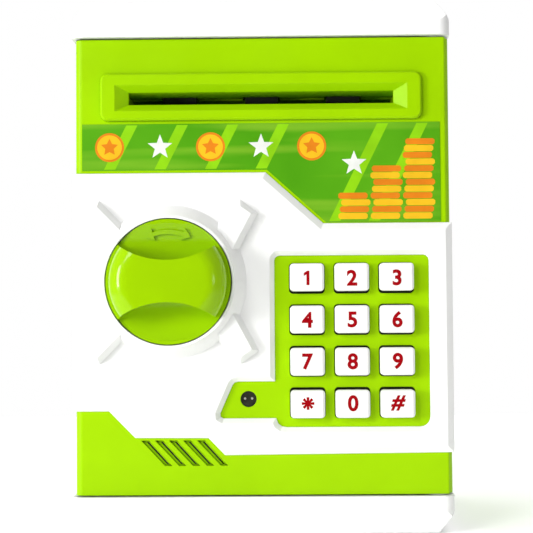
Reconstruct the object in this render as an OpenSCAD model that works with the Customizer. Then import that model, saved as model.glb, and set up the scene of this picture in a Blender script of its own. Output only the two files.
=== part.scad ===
// Toy safe coin bank: keypad door with a turning lock knob, a note feeder and a coin slot.
// Millimetres. +Z is up, the door faces -Y, X runs to the right for someone facing the door.
// The bank stands on z = 0, and x = 0 is its middle.

/* [Case] */
// width across the two caps
body_w = 135; // [133:0.5:138]
// depth of the caps, door side to back
cap_d = 110; // [106:1:120]
// overall height
body_h = 190; // [188:1:200]
// height of each cap
cap_h = 13.5; // [13:0.25:15]
// how far the caps' sloped edge comes in
cap_slope_in = 5.2; // [3:0.1:6]
// height of the caps' sloped edge
cap_slope_h = 8; // [6:0.25:9]
// general moulded wall
wall = 2.2; // [1.8:0.1:2.6]
// coin slot length in the top cap
coin_slot_l = 34; // [28:1:40]
// coin slot width in the top cap
coin_slot_w = 4.6; // [4.4:0.1:6]

/* [Door] */
// front face of the green door moulding
door_face_y = -45.5; // [-46:0.1:-45]
// gap between the door and each cap
door_gap = 0.5; // [0.3:0.1:1]
// thickness of the white overlay on the door
overlay_t = 2; // [1.6:0.1:2.4]
// sloped edge of the overlay
overlay_slope = 2.4; // [1:0.1:2.6]
// radius of the hinge barrel
barrel_r = 5; // [4.6:0.1:5.2]
// radius of the hinge pins
pin_r = 2; // [1.6:0.1:2.2]
// width of the note slot
note_slot_w = 94.6; // [80:0.2:96]
// height of the note slot
note_slot_h = 4.4; // [4.2:0.1:5]
// height of the note slot's middle above the table
note_z = 154.85; // [154:0.05:155.5]

/* [Knob] */
// knob position across the door
knob_x = -32.6; // [-34:0.1:-31]
// knob height above the table
knob_z = 89.15; // [88:0.05:90]
// radius of the knob's base disc
knob_r = 21.9; // [20:0.1:22.4]
// radius of the knob's grip
grip_r = 20.6; // [18:0.1:21]
// height of the grip at its waist
grip_waist = 14.5; // [12:0.1:16]
// how far the knob stands in front of the overlay
knob_proud = 15; // [12:0.5:15]
// outer radius of the sloped ring round the knob, at its foot
ring_foot_r = 27.3; // [26:0.1:29]

/* [Keypad] */
// key spacing across
key_pitch_x = 15.8; // [15.4:0.1:16]
// key spacing in height
key_pitch_z = 14.65; // [14.4:0.05:14.8]
// key width
key_w = 12.1; // [11:0.1:12.3]
// key height
key_h = 9.8; // [9:0.1:10.2]
// how far the keys stand out of the green panel
key_proud = 4; // [3:0.25:5]
// key travel
key_travel = 1.2; // [0.8:0.1:1.3]

/* [Hidden] */
$fn = 40;
eps = 0.02;

c_green = [0.67, 0.91, 0.02];
c_white = [0.94, 0.94, 0.93];
c_grey = [0.55, 0.56, 0.57];
c_steel = [0.7, 0.71, 0.73];
c_black = [0.1, 0.1, 0.11];
c_board = [0.05, 0.35, 0.15];
c_copper = [0.72, 0.42, 0.2];

half_w = body_w / 2;
face_y = door_face_y - overlay_t;         // front of the overlay, and of the caps
back_y = face_y + cap_d;                  // back of the caps
top_z = body_h - cap_h;                   // underside of the top cap

// case walls
case_x = half_w - 1.5;
case_in = case_x - wall;
case_back = back_y - 1.3;
rim_y = -30.5;                            // front rim of the case walls
floor_t = 2;

// case screws: corner positions, shared by the shell, the caps and the screws
screw_r = 1.5;
screw_pts = [for (sx = [-1, 1]) for (y = [-24, case_back - 7]) [sx * (case_in - 4.8), y]];
boss_lo = cap_h + 11.5;
boss_hi = top_z - 8;

// battery compartment
cell_r = 7.1;
cell_pitch = 15;
cell_z = 10.2;
bat_x = 27;                               // half of the inner length
bat_y = [-10.5, 34.5];
bat_roof = 17.8;
bat_t = 1.6;
cell_ys = [for (i = [0:2]) bat_y[0] + 7.5 + i * cell_pitch];
bat_screw = [0, 40.5];

// hinge
hinge_x = half_w - 5.2;
hinge_y = -39.8;
lug_r = barrel_r - 0.5;
lug_lo = cap_h + 6.2;
lug_hi = top_z - 3.7;
pin_lo = [10, lug_lo + 9.8];
pin_hi = [top_z - 16, top_z + 7];
cable_r = 0.9;

// door moulding
door_z = [cap_h + door_gap, top_z - door_gap];
door_left = -(half_w - 1.2);
door_right = half_w - 1.7;
door_back = -31.5;
wall_in = door_face_y + wall;             // inside of the door's front wall
tray_right = hinge_x - 5.5;

// overlay outline, counter-clockwise as (x, z)
over_left = -(half_w - 0.3);
over_right = half_w - 0.1;
over_pts = [
    [over_left, 43.6], [-54.3, 43.6], [-45.1, 34.2], [-19.2, 34], [-13.4, 28],
    [over_right, 28.6], [over_right, 109.7], [21.9, 109.7], [1.5, 128], [over_left, 128]
];
// outline of the raised frame round the note slot
frame_pts = concat(corner([-54.65, 149.25], 2.5, 180, 270), corner([54.65, 149.25], 2.5, 270, 360),
    corner([54.65, 161.05], 2.5, 0, 90), corner([-54.65, 161.05], 2.5, 90, 180));
label_pts = [[-63.8, 129], [2, 129], [22.9, 110.1], [63.6, 110.1], [63.6, 145.6], [-63.8, 145.6]];

// keypad
key_names = ["1", "2", "3", "4", "5", "6", "7", "8", "9", "star", "0", "hash"];
key_mid = [31.7, 68.2];
key_hole = [12.6, 10.9];
key_flange = [14.6, 12.6];
key_face_y = door_face_y - key_proud;
flange_y = wall_in + 0.2;
flange_t = 1.2;
dome_y = flange_y + flange_t + 0.05;      // tips of the rubber domes
dome_h = 1.6;
sheet_t = 1.2;
board_y = dome_y + dome_h + sheet_t;      // front of the circuit board
board_t = 1.6;
window_pts = concat(
    [[4.7, 40.9], [5.5, 38.9], [6.8, 38], [8.6, 37.7]], corner([55.6, 41.2], 3.5, 270, 360, 6),
    corner([57.1, 96.3], 2, 0, 90), corner([6.2, 96.5], 1.8, 90, 180),
    [[4.4, 53.85], [-8.7, 53.85], [-9.9, 53.5], [-10.6, 52.7], [-15, 42.7], [-14.9, 41.5], [-13.9, 40.9]]);
window_slope = 1.7;
led_pos = [-5, 47.65];
led_hole_r = 2.84;
board_x = [-12, 56.3];
board_z = [33.5, 104];
board_screws = [for (x = [-8.5, 52.5]) for (z = [37, 100.5]) [x, z]];

// knob and latch
bush_r = 6.05;
hub_r = 6;
spindle_r = 3;
bush_end = wall_in + 5.3;
ring_top_y = face_y - 6;
disc_y = face_y - 0.5;
ledge_y = face_y - 6.3;
tip_y = face_y - knob_proud;
latch_m = 5 / 6;                          // module of the latch rack and pinion
latch_n = 12;
latch_pr = latch_m * latch_n / 2;
latch_y = [-25.7, -21.3];
bolt_y = [-25.5, -21.5];
bolt_throw = latch_pr * PI / 2;
bolt_tip = -(case_in - 0.8) + bolt_throw; // tip when drawn back
bolt_top = knob_z + latch_pr + 6.9;
plunger_x = -30;
plunger_r = 1.5;
plunger_y = (bolt_y[0] + bolt_y[1]) / 2;
coil_z = [bolt_top + 3, bolt_top + 21];
keeper_x = -(case_in - 4.3);

// speaker
spk = [-27.5, 30.4];
spk_r = 13.4;

// note feeder: shafts run along X, positions are (y, z)
guide_in = note_slot_w / 2 + 0.7;         // inside of the feeder's cheeks
cheek_t = 1.5;
roller_r = 5;
pinch_r = 4;
feed_m = 0.6;
drive_yz = [-28, note_z - 0.1 - roller_r];
pinch_yz = [-28, note_z + 0.2 + pinch_r];
gear_small = 12;
gear_big = 30;
gear_c = feed_m * (gear_small + gear_big) / 2;
idler_yz = drive_yz + gear_c * [cos(-75), sin(-75)];
motor_yz = idler_yz + gear_c * [cos(-100), sin(-100)];
guide_t = 1.2;
roller_xs = [-30, 0, 30];
gear_x1 = guide_in + cheek_t + 0.5;       // first gear layer
gear_x2 = gear_x1 + 2.4;                  // second gear layer

// back cover
cover_t = 2;
cover_x = [door_left + wall + 0.2, tray_right - 0.2];
cover_screws = [[-59, 21.5], [-59, 168.5], [50.8, 168.5], [50.8, 21.5], [-59, 62], [2, 119]];
// raised boxes on the back cover: [x0, x1, z0, z1, depth y]
feed_box = [-52, 55.5, 113, 164, -15.2];
latch_box = [-54, -12, 78, 128, -17.5];

// which node to draw

// ---------- shared shapes ----------

// extrude a plan drawn in (x, z) from y0 to y1
module along_y(y0, y1) { translate([0, y1, 0]) rotate([90, 0, 0]) linear_extrude(y1 - y0) children(); }

// extrude a plan drawn in (y, z) from x0 to x1
module along_x(x0, x1) { translate([x0, 0, 0]) rotate([90, 0, 90]) linear_extrude(x1 - x0) children(); }

module along_z(z0, z1) { translate([0, 0, z0]) linear_extrude(z1 - z0) children(); }

// block between two corners
module block(a, b) { translate(a) cube(b - a); }

// rectangle with round corners, centred
module rrect(w, h, r) {
    square([w - 2 * r, h], center = true);
    square([w, h - 2 * r], center = true);
    for (sx = [-1, 1]) for (sy = [-1, 1]) translate([sx * (w / 2 - r), sy * (h / 2 - r)]) circle(r, $fn = 28);
}

// round bar along Y from y0 to y1
module bar_y(p, r, y0, y1) { translate([p[0], y1, p[1]]) rotate([90, 0, 0]) cylinder(r = r, h = y1 - y0); }

// round bar along X from x0 to x1, p is (y, z)
module bar_x(p, r, x0, x1) { translate([x0, p[0], p[1]]) rotate([0, 90, 0]) cylinder(r = r, h = x1 - x0); }

// outline pts, counter-clockwise in (x, z), moved outwards by d
function grown(pts, d) = let (n = len(pts)) [for (i = [0:n - 1]) let (
    a = pts[i] - pts[(i + n - 1) % n], b = pts[(i + 1) % n] - pts[i],
    na = [a[1], -a[0]] / norm(a), nb = [b[1], -b[0]] / norm(b)) pts[i] + d * (na + nb) / (1 + na * nb)];

// points of a rounded corner, without its last point
function corner(c, r, a0, a1, n = 4) = [for (k = [0:n - 1]) let (a = a0 + (a1 - a0) * k / (n - 1)) c + r * [cos(a), sin(a)]];

function middle(pts) = [for (k = [0, 1]) (min([for (p = pts) p[k]]) + max([for (p = pts) p[k]])) / 2];

// solid whose outline is pts at y1 and the same outline grown by d at y0, with y0 in front of y1;
// hub is a point that sees every corner of the outline
module sloped(pts, y0, y1, d, hub = undef) {
    n = len(pts);
    front = grown(pts, d);
    h = is_undef(hub) ? middle(pts) : hub;
    polyhedron(
        concat([for (p = pts) [p[0], y1, p[1]]], [for (p = front) [p[0], y0, p[1]]], [[h[0], y1, h[1]], [h[0], y0, h[1]]]),
        [for (i = [0:n - 1]) let (j = (i + 1) % n)
            each [[i, j, 2 * n], [n + j, n + i, 2 * n + 1], [n + i, n + j, j, i]]]);
}

// block with a sloped edge at its z = 0 end
module cap_block(w, y0, y1, h, si, sh, r) {
    intersection() {
        along_z(0, h) translate([0, (y0 + y1) / 2]) rrect(w, y1 - y0, r);
        along_y(y0, y1) polygon([[-w / 2, sh], [-w / 2 + si, 0], [w / 2 - si, 0], [w / 2, sh],
            [w / 2, h], [-w / 2, h]]);
        along_x(-w / 2, w / 2) polygon([[y0, sh], [y0 + si, 0], [y1 - si, 0], [y1, sh], [y1, h], [y0, h]]);
    }
}

// spur gear outline with n teeth of module m; flanks follow an involute at 25 degrees
function inv(a) = tan(a) * 180 / PI - a;
module gear_2d(n, m, play = 0.16) {
    pr = m * n / 2;
    rb = pr * cos(25);
    ro = pr + m * 0.86;
    rr = pr - m * 1.15;
    half = 90 / n - play * 90 / PI / pr;
    rs = [for (k = [0:3]) max(rb, rr) + (ro - max(rb, rr)) * k / 3];
    w = [for (r = rs) half + inv(25) - inv(acos(min(1, rb / r)))];
    polygon([for (t = [0:n - 1]) let (a = t * 360 / n) each concat(
        [rr * [cos(a - w[0]), sin(a - w[0])]],
        [for (k = [0:3]) rs[k] * [cos(a - w[k]), sin(a - w[k])]],
        [for (k = [3:-1:0]) rs[k] * [cos(a + w[k]), sin(a + w[k])]],
        [rr * [cos(a + w[0]), sin(a + w[0])]])]);
}

// round cable through a list of points
module cable(pts, r) {
    for (i = [0:len(pts) - 2]) {
        d = pts[i + 1] - pts[i];
        l = norm(d);
        translate(pts[i]) rotate([0, acos(d[2] / l), atan2(d[1], d[0])]) cylinder(r = r, h = l, $fn = 20);
        if (i > 0) translate(pts[i]) sphere(r, $fn = 20);
    }
}

// pan-head screw pointing to +Z, head below z = 0
module screw(r, l, head_r, head_h) {
    difference() {
        union() {
            translate([0, 0, -head_h]) cylinder(r = head_r, h = head_h, $fn = 28);
            cylinder(r = r, h = l, $fn = 24);
        }
        for (a = [0, 90]) rotate(a) block([-head_r * 0.62, -0.35, -head_h - 1], [head_r * 0.62, 0.35, -head_h * 0.4]);
    }
}

// ---------- case ----------

module case_shell() color(c_green) difference() {
    union() {
        along_z(cap_h, top_z) difference() {
            translate([0, (rim_y + case_back) / 2]) rrect(2 * case_x, case_back - rim_y, 3);
            translate([-case_in, rim_y - 1]) square([2 * case_in, case_back - wall - rim_y + 1]);
            translate([-case_x - 1, rim_y - 1]) square([2 * case_x + 2, 1]);
        }
        // square the front ends of the side walls
        for (s = [-1, 1]) block([s > 0 ? case_in : -case_x, rim_y, cap_h], [s > 0 ? case_x : -case_in, rim_y + 4, top_z]);
        // floor
        block([-case_in, rim_y, cap_h], [case_in, case_back - wall, cap_h + floor_t]);
        // screw bosses
        for (p = screw_pts) {
            block([p[0] > 0 ? p[0] - 3.8 : -case_in, p[1] - 3.8, cap_h], [p[0] > 0 ? case_in : p[0] + 3.8, p[1] + 3.8, boss_lo]);
            block([p[0] > 0 ? p[0] - 3.8 : -case_in, p[1] - 3.8, boss_hi], [p[0] > 0 ? case_in : p[0] + 3.8, p[1] + 3.8, top_z]);
        }
        // keeper rib for the bolt
        block([-case_in, -29.5, 79], [keeper_x, -26.5, 106]);
        // upright ribs that stiffen the back wall
        for (x = [-30, 0, 30]) block([x - 0.8, case_back - wall - 1.5, cap_h], [x + 0.8, case_back - wall, top_z]);
    }
    for (p = screw_pts) {
        translate([p[0], p[1], cap_h - 1]) cylinder(r = screw_r + eps, h = 9.5);
        translate([p[0], p[1], boss_hi - 1]) cylinder(r = screw_r + eps, h = 20);
    }
    // clearance round the battery box
    block([-bat_x - bat_t - 0.3, bat_y[0] - bat_t - 0.3, cap_h - 1], [bat_x + bat_t + 0.3, bat_y[1] + bat_t + 0.3, cap_h + 5]);
}

module top_cap() color(c_white) difference() {
    union() {
        difference() {
            translate([0, 0, body_h]) mirror([0, 0, 1])
                cap_block(body_w, face_y, back_y, cap_h, cap_slope_in, cap_slope_h, 4);
            // hollow over the case
            translate([0, 0, body_h - wall]) mirror([0, 0, 1])
                cap_block(2 * case_in, rim_y + 2.5, case_back - wall, cap_h - wall + 1, cap_slope_in - 1.5, cap_slope_h - wall, 2);
            // hollow over the door, closed below
            intersection() {
                block([-case_in, face_y + 3, top_z + wall], [case_in, rim_y + 0.5, body_h - wall]);
                translate([0, 0, body_h - wall]) mirror([0, 0, 1])
                    cap_block(2 * case_in, face_y + 3, back_y, cap_h, cap_slope_in - 1.5, cap_slope_h - wall, 2);
            }
        }
        // screw posts
        for (p = screw_pts) translate([p[0], p[1], top_z]) cylinder(r = 4.4, h = cap_h - 2.5);
        // hinge lug
        translate([hinge_x, hinge_y, lug_hi]) cylinder(r = lug_r, h = top_z - lug_hi + 1);
        translate([hinge_x, hinge_y, top_z]) cylinder(r = 3.2, h = 7.5);
        // raised lip round the coin slot
        along_z(body_h - 1, body_h) translate([0, 12]) rrect(coin_slot_l + 6, coin_slot_w + 6, 4);
        // walls of the coin chute
        along_z(body_h - 8, body_h - 1) translate([0, 12]) rrect(coin_slot_l + 4, coin_slot_w + 4, 3);
    }
    along_z(top_z - 1, body_h + 1) translate([0, 12]) rrect(coin_slot_l, coin_slot_w, 2.2);
    // shallow dish round the coin slot
    along_z(body_h - 0.8, body_h + 1) translate([0, 12]) difference() {
        rrect(coin_slot_l + 22, coin_slot_w + 22, 12);
        rrect(coin_slot_l + 6, coin_slot_w + 6, 4);
    }
    for (p = screw_pts) translate([p[0], p[1], top_z - 1]) cylinder(r = screw_r + eps, h = 9.5);
    translate([hinge_x, hinge_y, lug_hi - 1]) cylinder(r = pin_r + eps, h = pin_hi[1] - lug_hi + 1);
}

module base_cap() color(c_white) difference() {
    union() {
        difference() {
            cap_block(body_w, face_y, back_y, cap_h, cap_slope_in, cap_slope_h, 4);
            // hollow under the case floor
            translate([0, 0, 2.6])
                cap_block(2 * case_in, rim_y + 2.5, case_back - wall, cap_h, cap_slope_in - 1.7, cap_slope_h - 2.6, 2);
            // hollow under the door, closed above
            intersection() {
                block([-case_in, face_y + 3, 2.6], [case_in, rim_y + 3, cap_h - wall]);
                translate([0, 0, 2.6]) cap_block(2 * case_in, face_y + 3, back_y, cap_h, cap_slope_in - 1.7, cap_slope_h - 2.6, 2);
            }
        }
        for (p = screw_pts) translate([p[0], p[1], 1]) cylinder(r = 4.4, h = cap_h - 1);
        // hinge lug
        translate([hinge_x, hinge_y, cap_h - 3.9]) cylinder(r = lug_r, h = lug_lo - cap_h + 3.9);
        // battery box and its screw post
        block([-bat_x - bat_t, bat_y[0] - bat_t, 1], [bat_x + bat_t, bat_y[1] + bat_t, bat_roof + bat_t]);
        translate([bat_screw[0], bat_screw[1], 1]) cylinder(r = 3.2, h = 9);
    }
    block([-bat_x, bat_y[0], -1], [bat_x, bat_y[1], bat_roof]);
    cover_outline(0.2, -1, 1.6);
    translate([bat_screw[0], bat_screw[1], -1]) cylinder(r = 1.2 + eps, h = 10);
    for (p = screw_pts) translate([p[0], p[1], -1]) {
        cylinder(r = 3.3, h = 6.5);
        cylinder(r = screw_r + eps, h = 20);
    }
    translate([hinge_x, hinge_y, 3]) cylinder(r = pin_r + eps, h = 20);
    // cable hole in the battery box
    bar_x([-4, 8.2], cable_r + 0.1, bat_x - 1, bat_x + 3);
    // the resting rim stands 0.6 proud of the underside
    intersection() {
        block([-half_w + 13, face_y + 13, -1], [half_w - 13, back_y - 13, 0.6]);
        difference() {
            block([-half_w, face_y, -1], [half_w, back_y, 1]);
            block([-bat_x - 4, bat_y[0] - 4, -2], [bat_x + 4, bat_screw[1] + 6, 2]);
        }
    }
}

// plan of the battery cover, grown by g
module cover_outline(g, z0, z1) {
    block([-bat_x - 2 - g, bat_y[0] - 2 - g, z0], [bat_x + 2 + g, bat_y[1] + 2 + g, z1]);
    along_z(z0, z1) translate([bat_screw[0], bat_screw[1] - 1]) rrect(12 + 2 * g, 9 + 2 * g, 3);
}

module battery_cover() color(c_white) difference() {
    union() {
        cover_outline(0, 0.3, 1.6);
        for (y = cell_ys) block([-bat_x + 1, y - 1, 1.6], [bat_x - 1, y + 1, 2.8]);
    }
    translate([bat_screw[0], bat_screw[1], -1]) cylinder(r = 1.2 + eps, h = 5);
    translate([bat_screw[0], bat_screw[1], -1]) cylinder(r = 2.4, h = 2);
    // grip lines on the outside
    for (k = [0:4]) block([-8, bat_y[0] + 1 + 2 * k, 0], [8, bat_y[0] + 1.8 + 2 * k, 0.6]);
}

module battery_cover_screw() color(c_steel)
    translate([bat_screw[0], bat_screw[1], 1]) screw(1.2, 7.8, 2.2, 0.75);

module cell(i) {
    s = i == 1 ? -1 : 1;
    bar_x([cell_ys[i], cell_z], cell_r, s > 0 ? -25 : -24.5, s > 0 ? 24.5 : 25);
    bar_x([cell_ys[i], cell_z], 2.7, s > 0 ? 24 : -25.5, s > 0 ? 25.5 : -24);
}

module battery_cell_1() color(c_grey) cell(0);
module battery_cell_2() color(c_grey) cell(1);
module battery_cell_3() color(c_grey) cell(2);

module battery_contacts() color(c_steel) for (i = [0:2]) for (e = [-1, 1]) {
    flat = (i == 1 ? -1 : 1) == e;
    translate([0, cell_ys[i], cell_z]) {
        block([e > 0 ? bat_x - 0.6 : -bat_x, -5, -5], [e > 0 ? bat_x : -bat_x + 0.6, 5, 5]);
        rotate([0, e * 90, 0]) translate([0, 0, flat ? 25.5 : 25]) cylinder(r1 = flat ? 2 : 2.6, r2 = flat ? 3 : 4.4, h = bat_x - 0.6 - (flat ? 25.5 : 25));
    }
}

module case_screws_lower() color(c_steel)
    for (p = screw_pts) translate([p[0], p[1], 5.5]) screw(screw_r, 15.5, 2.9, 1.8);

module case_screws_upper() color(c_steel)
    for (p = screw_pts) translate([p[0], p[1], boss_hi]) screw(screw_r, 15.5, 2.9, 1.8);

module hinge_pin_lower() color(c_steel) translate([hinge_x, hinge_y, 0]) difference() {
    translate([0, 0, pin_lo[0]]) cylinder(r = pin_r, h = pin_lo[1] - pin_lo[0]);
    cylinder(r = cable_r + 0.1, h = 60);
}

module hinge_pin_upper() color(c_steel)
    translate([hinge_x, hinge_y, pin_hi[0]]) cylinder(r = pin_r, h = pin_hi[1] - pin_hi[0]);

module harness_base() color(c_black)
    cable([[bat_x, -4, 8.2], [46, -4, 8.2], [46, hinge_y, 8.2], [hinge_x, hinge_y, 8.2],
        [hinge_x, hinge_y, pin_lo[1] - 0.1]], cable_r);

// ---------- door ----------

// slanting grooves over the speaker, and the narrow slits in their floors
module speaker_grooves() {
    for (k = [0:4]) translate([k * 4.93, 0])
        polygon([[-43, 33.2], [-40.2, 33.2], [-32.1, 24.3], [-34.6, 24.3]]);
}
module speaker_slits() {
    for (k = [0:4]) translate([k * 4.93, 0])
        polygon([[-41.2, 32.6], [-40.4, 32.6], [-33.2, 24.7], [-33.9, 24.7]]);
}

// plan of the door moulding in (x, y)
module door_plan(r) {
    y = door_face_y;
    translate([door_left, y + r]) square([hinge_x - door_left, door_back - y - r]);
    translate([door_left + r, y]) square([door_right - door_left - r - 0.8, r]);
    translate([door_left + r, y + r]) circle(r);
    translate([hinge_x, y + 0.8]) square([door_right - hinge_x, wall - 0.8]);
    translate([door_right - 0.8, y + 0.8]) circle(0.8, $fn = 20);
}

module door_shell() color(c_green) difference() {
    union() {
        difference() {
            along_z(door_z[0], door_z[1]) door_plan(2.6);
            block([door_left + wall, wall_in, door_z[0] + wall], [tray_right, 0, door_z[1] - wall]);
        }
        translate([hinge_x, hinge_y, door_z[0]]) cylinder(r = barrel_r, h = door_z[1] - door_z[0]);
        // raised frame round the note slot
        along_y(door_face_y - 1.2, door_face_y + 0.5) polygon(frame_pts);
        sloped(frame_pts, door_face_y - 1.8, door_face_y - 1.2, -0.6);
        // bushing for the knob
        bar_y([knob_x, knob_z], 9, wall_in - 0.5, bush_end);
        // bosses
        for (p = cover_screws) bar_y(p, 3.2, wall_in - 0.5, door_back - cover_t);
        for (p = board_screws) bar_y(p, 2.8, wall_in - 0.5, board_y);
        // ring that holds the speaker
        difference() {
            bar_y(spk, spk_r + 1.6, wall_in - 0.5, wall_in + 4.5);
            bar_y(spk, spk_r + 0.1, wall_in, wall_in + 5);
        }
    }
    // note slot and its funnel
    block([-note_slot_w / 2, door_face_y - 5, note_z - note_slot_h / 2], [note_slot_w / 2, 0, note_z + note_slot_h / 2]);
    intersection() {
        along_z(140, 170) polygon([[-53.6, door_face_y - 2.8], [53.6, door_face_y - 2.8],
            [note_slot_w / 2 - 0.01, door_face_y + 1.2], [-note_slot_w / 2 + 0.01, door_face_y + 1.2]]);
        along_x(-60, 60) polygon([[door_face_y - 2.8, note_z + 5.4], [door_face_y + 1.2, note_z + note_slot_h / 2 - 0.01],
            [door_face_y + 1.2, note_z - note_slot_h / 2 + 0.01], [door_face_y - 2.8, note_z - 5.6]]);
    }
    along_y(-60, door_face_y + 1.3) speaker_grooves();
    along_y(-60, -40) speaker_slits();
    // key holes, indicator window, knob hole
    for (i = [0:11]) along_y(-60, -40) translate(key_at(i)) rrect(key_hole[0], key_hole[1], 1.4);
    bar_y(led_pos, led_hole_r, -60, -40);
    bar_y([knob_x, knob_z], bush_r, -60, -30);
    // hinge: room for the cap lugs, pin bores, cable way
    for (z = [[door_z[0] - 1, lug_lo + 0.3], [lug_hi - 0.3, door_z[1] + 1]])
        translate([hinge_x, hinge_y, z[0]]) cylinder(r = lug_r + 0.3, h = z[1] - z[0]);
    translate([hinge_x, hinge_y, 0]) cylinder(r = pin_r + 0.05, h = pin_lo[1] + 3);
    translate([hinge_x, hinge_y, pin_hi[0] - 0.5]) cylinder(r = pin_r + 0.05, h = 40);
    bar_x([hinge_y, pin_lo[1] + 1.5], cable_r + 0.3, tray_right - 1, hinge_x);
    // screw bores
    for (p = cover_screws) bar_y(p, 1.2 + eps, wall_in + 1, 0);
    for (p = board_screws) bar_y(p, 1 + eps, wall_in + 0.6, 0);
}

module door_overlay() color(c_white) difference() {
    union() {
        along_y(door_face_y - 0.3, door_face_y) polygon(over_pts);
        sloped(over_pts, face_y, door_face_y - 0.3, -overlay_slope, [0, 75]);
        // returns over the door's two side edges
        block([over_left, door_face_y - 0.4, 44.4], [door_left, door_face_y + 8, 127.2]);
        block([door_right + 0.1, door_face_y - 0.4, 29.6], [over_right - 0.1, door_face_y + 2.1, 108.9]);
        // sloped ring round the knob
        translate([knob_x, face_y + 0.2, knob_z]) rotate([90, 0, 0])
            cylinder(r1 = ring_foot_r, r2 = knob_r + 1.4, h = face_y + 0.2 - ring_top_y, $fn = 72);
        // four tapered arms
        for (m = [0, 1]) for (k = [0, 1]) translate([knob_x, 0, knob_z]) mirror([m, 0, 0]) mirror([0, 0, k])
            arm();
    }
    bar_y([knob_x, knob_z], bush_r, -70, -30);
    translate([knob_x, face_y, knob_z]) rotate([90, 0, 0]) cylinder(r = knob_r + 0.4, h = 20, $fn = 72);
    // keypad window
    along_y(-60, -40) polygon(window_pts);
    sloped(window_pts, face_y - 0.5, door_face_y - 0.3, window_slope * 1.3, [6, 47]);
}

// one arm, drawn in the upper right quarter round the knob
module arm() {
    pts = [[12.8, 16.7], [22.7, 7.7], [31.6, 24.4], [25, 29.2]];
    sloped(pts, face_y - 3.4, face_y + 0.2, -2);
}

module door_label() color([0.35, 0.66, 0.06])
    along_y(door_face_y - 0.15, door_face_y) polygon(label_pts);

// box open to the front: outer shell minus inner room
module cover_box(b, inner) {
    t = inner ? 0 : cover_t;
    block([b[0] - t, door_back - cover_t - (inner ? 1 : 0), b[2] - t], [b[1] + t, b[4] + t, b[3] + t]);
}

module door_back_cover() color(c_white) difference() {
    union() {
        block([cover_x[0], door_back - cover_t, door_z[0] + wall + 0.2], [cover_x[1], door_back, door_z[1] - wall - 0.2]);
        difference() {
            union() { cover_box(feed_box, false); cover_box(latch_box, false); }
            cover_box(feed_box, true);
            cover_box(latch_box, true);
        }
        // rails of the bolt
        block([latch_box[0], bolt_y[0] - 1.5, bolt_top + 0.3], [-14, latch_box[4] + 1, bolt_top + 1.7]);
        block([latch_box[0], bolt_y[1] + 0.3, knob_z + latch_pr + 1.4], [-14, latch_box[4] + 1, bolt_top + 1]);
        block([latch_box[0], bolt_y[0] - 1.5, knob_z - 7.2], [-44, latch_box[4] + 1, knob_z - 5.8]);
    }
    // the boxes open into the room between the cover and the door
    for (b = [feed_box, latch_box]) block([b[0], -40, b[2]], [b[1], door_back + 0.5, b[3]]);
    // nothing beyond the door's tray in front of its back face
    block([cover_x[1], -40, 0], [cover_x[1] + 5, door_back + 0.25, 190]);
    // way out for the bolt
    block([latch_box[0] - 5, bolt_y[0] - 0.4, knob_z - 5.8], [latch_box[0] + 1, bolt_y[1] + 0.4, bolt_top + 0.3]);
    // hole for the plunger in the upper rail
    block([plunger_x - 2.2, bolt_y[0] - 3, bolt_top], [plunger_x + 2.2, bolt_y[1] + 0.1, bolt_top + 3]);
    // way out for the notes
    block([-guide_in, feed_box[4] - 2, note_z - 3.4], [guide_in, 0, note_z + 3.4]);
    for (p = cover_screws) bar_y(p, 1.2 + eps, -40, 0);
    for (p = cover_screws) bar_y(p, 2.5, door_back - 0.9, 0);
}

module door_screws() color(c_steel) for (p = cover_screws)
    translate([p[0], door_back - 0.9, p[1]]) rotate([90, 0, 0]) screw(1.2, 9, 2.3, 0.8);

// key positions, left to right and top to bottom
function key_at(i) = [key_mid[0] + (i % 3 - 1) * key_pitch_x, key_mid[1] + (1.5 - floor(i / 3)) * key_pitch_z];

module keypad_membrane() color(c_grey) {
    along_y(board_y - sheet_t, board_y) translate([31.4, 68.2]) rrect(49.4, 56.2, 2);
    for (i = [0:11]) translate([key_at(i)[0], board_y - sheet_t + 0.1, key_at(i)[1]]) rotate([90, 0, 0])
        cylinder(r1 = 4.4, r2 = 2.8, h = dome_h + 0.1, $fn = 28);
}

module main_board() color(c_board) difference() {
    union() {
        block([board_x[0], board_y, board_z[0]], [board_x[1], board_y + board_t, board_z[1]]);
        // the parts on its back: chips, capacitor, plugs
        y = board_y + board_t;
        block([22, y, 62], [38, y + 1.8, 78]);
        block([4, y, 80], [12, y + 1.5, 87]);
        block([41, y, 40], [47, y + 3.2, 46]);
        block([2, y, 40], [14, y + 3.2, 45]);
        translate([50, y, 90]) rotate([-90, 0, 0]) cylinder(r = 2.5, h = 3.4);
        for (z = [52, 56, 60]) block([44, y, z], [50, y + 1.1, z + 2]);
    }
    for (p = board_screws) bar_y(p, 1 + eps, -45, 0);
}

module board_screws() color(c_steel) for (p = board_screws)
    translate([p[0], board_y + board_t, p[1]]) rotate([90, 0, 0]) screw(1, 5, 1.9, 1.1);

module led_lens() color(c_black) difference() {
    bar_y(led_pos, led_hole_r - 0.02, door_face_y + 0.3, wall_in + 0.2);
    for (s = [-1, 1]) bar_y([led_pos[0] + s * 1.35, led_pos[1]], 0.95, door_face_y + 0.9, 0);
}

module led(s) {
    p = [led_pos[0] + s * 1.35, led_pos[1]];
    bar_y(p, 0.9, door_face_y + 1.3, wall_in + 0.6);
    bar_y(p, 1.25, wall_in + 0.5, board_y);
}
module led_red() color([0.8, 0.05, 0.05]) led(-1);
module led_green() color([0.1, 0.8, 0.1]) led(1);

module speaker() color(c_black) {
    bar_y(spk, spk_r, wall_in, wall_in + 3.2);
    bar_y(spk, 10, wall_in + 3, wall_in + 4.6);
    bar_y(spk, 7.2, wall_in + 4.5, wall_in + 7.6);
}

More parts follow.
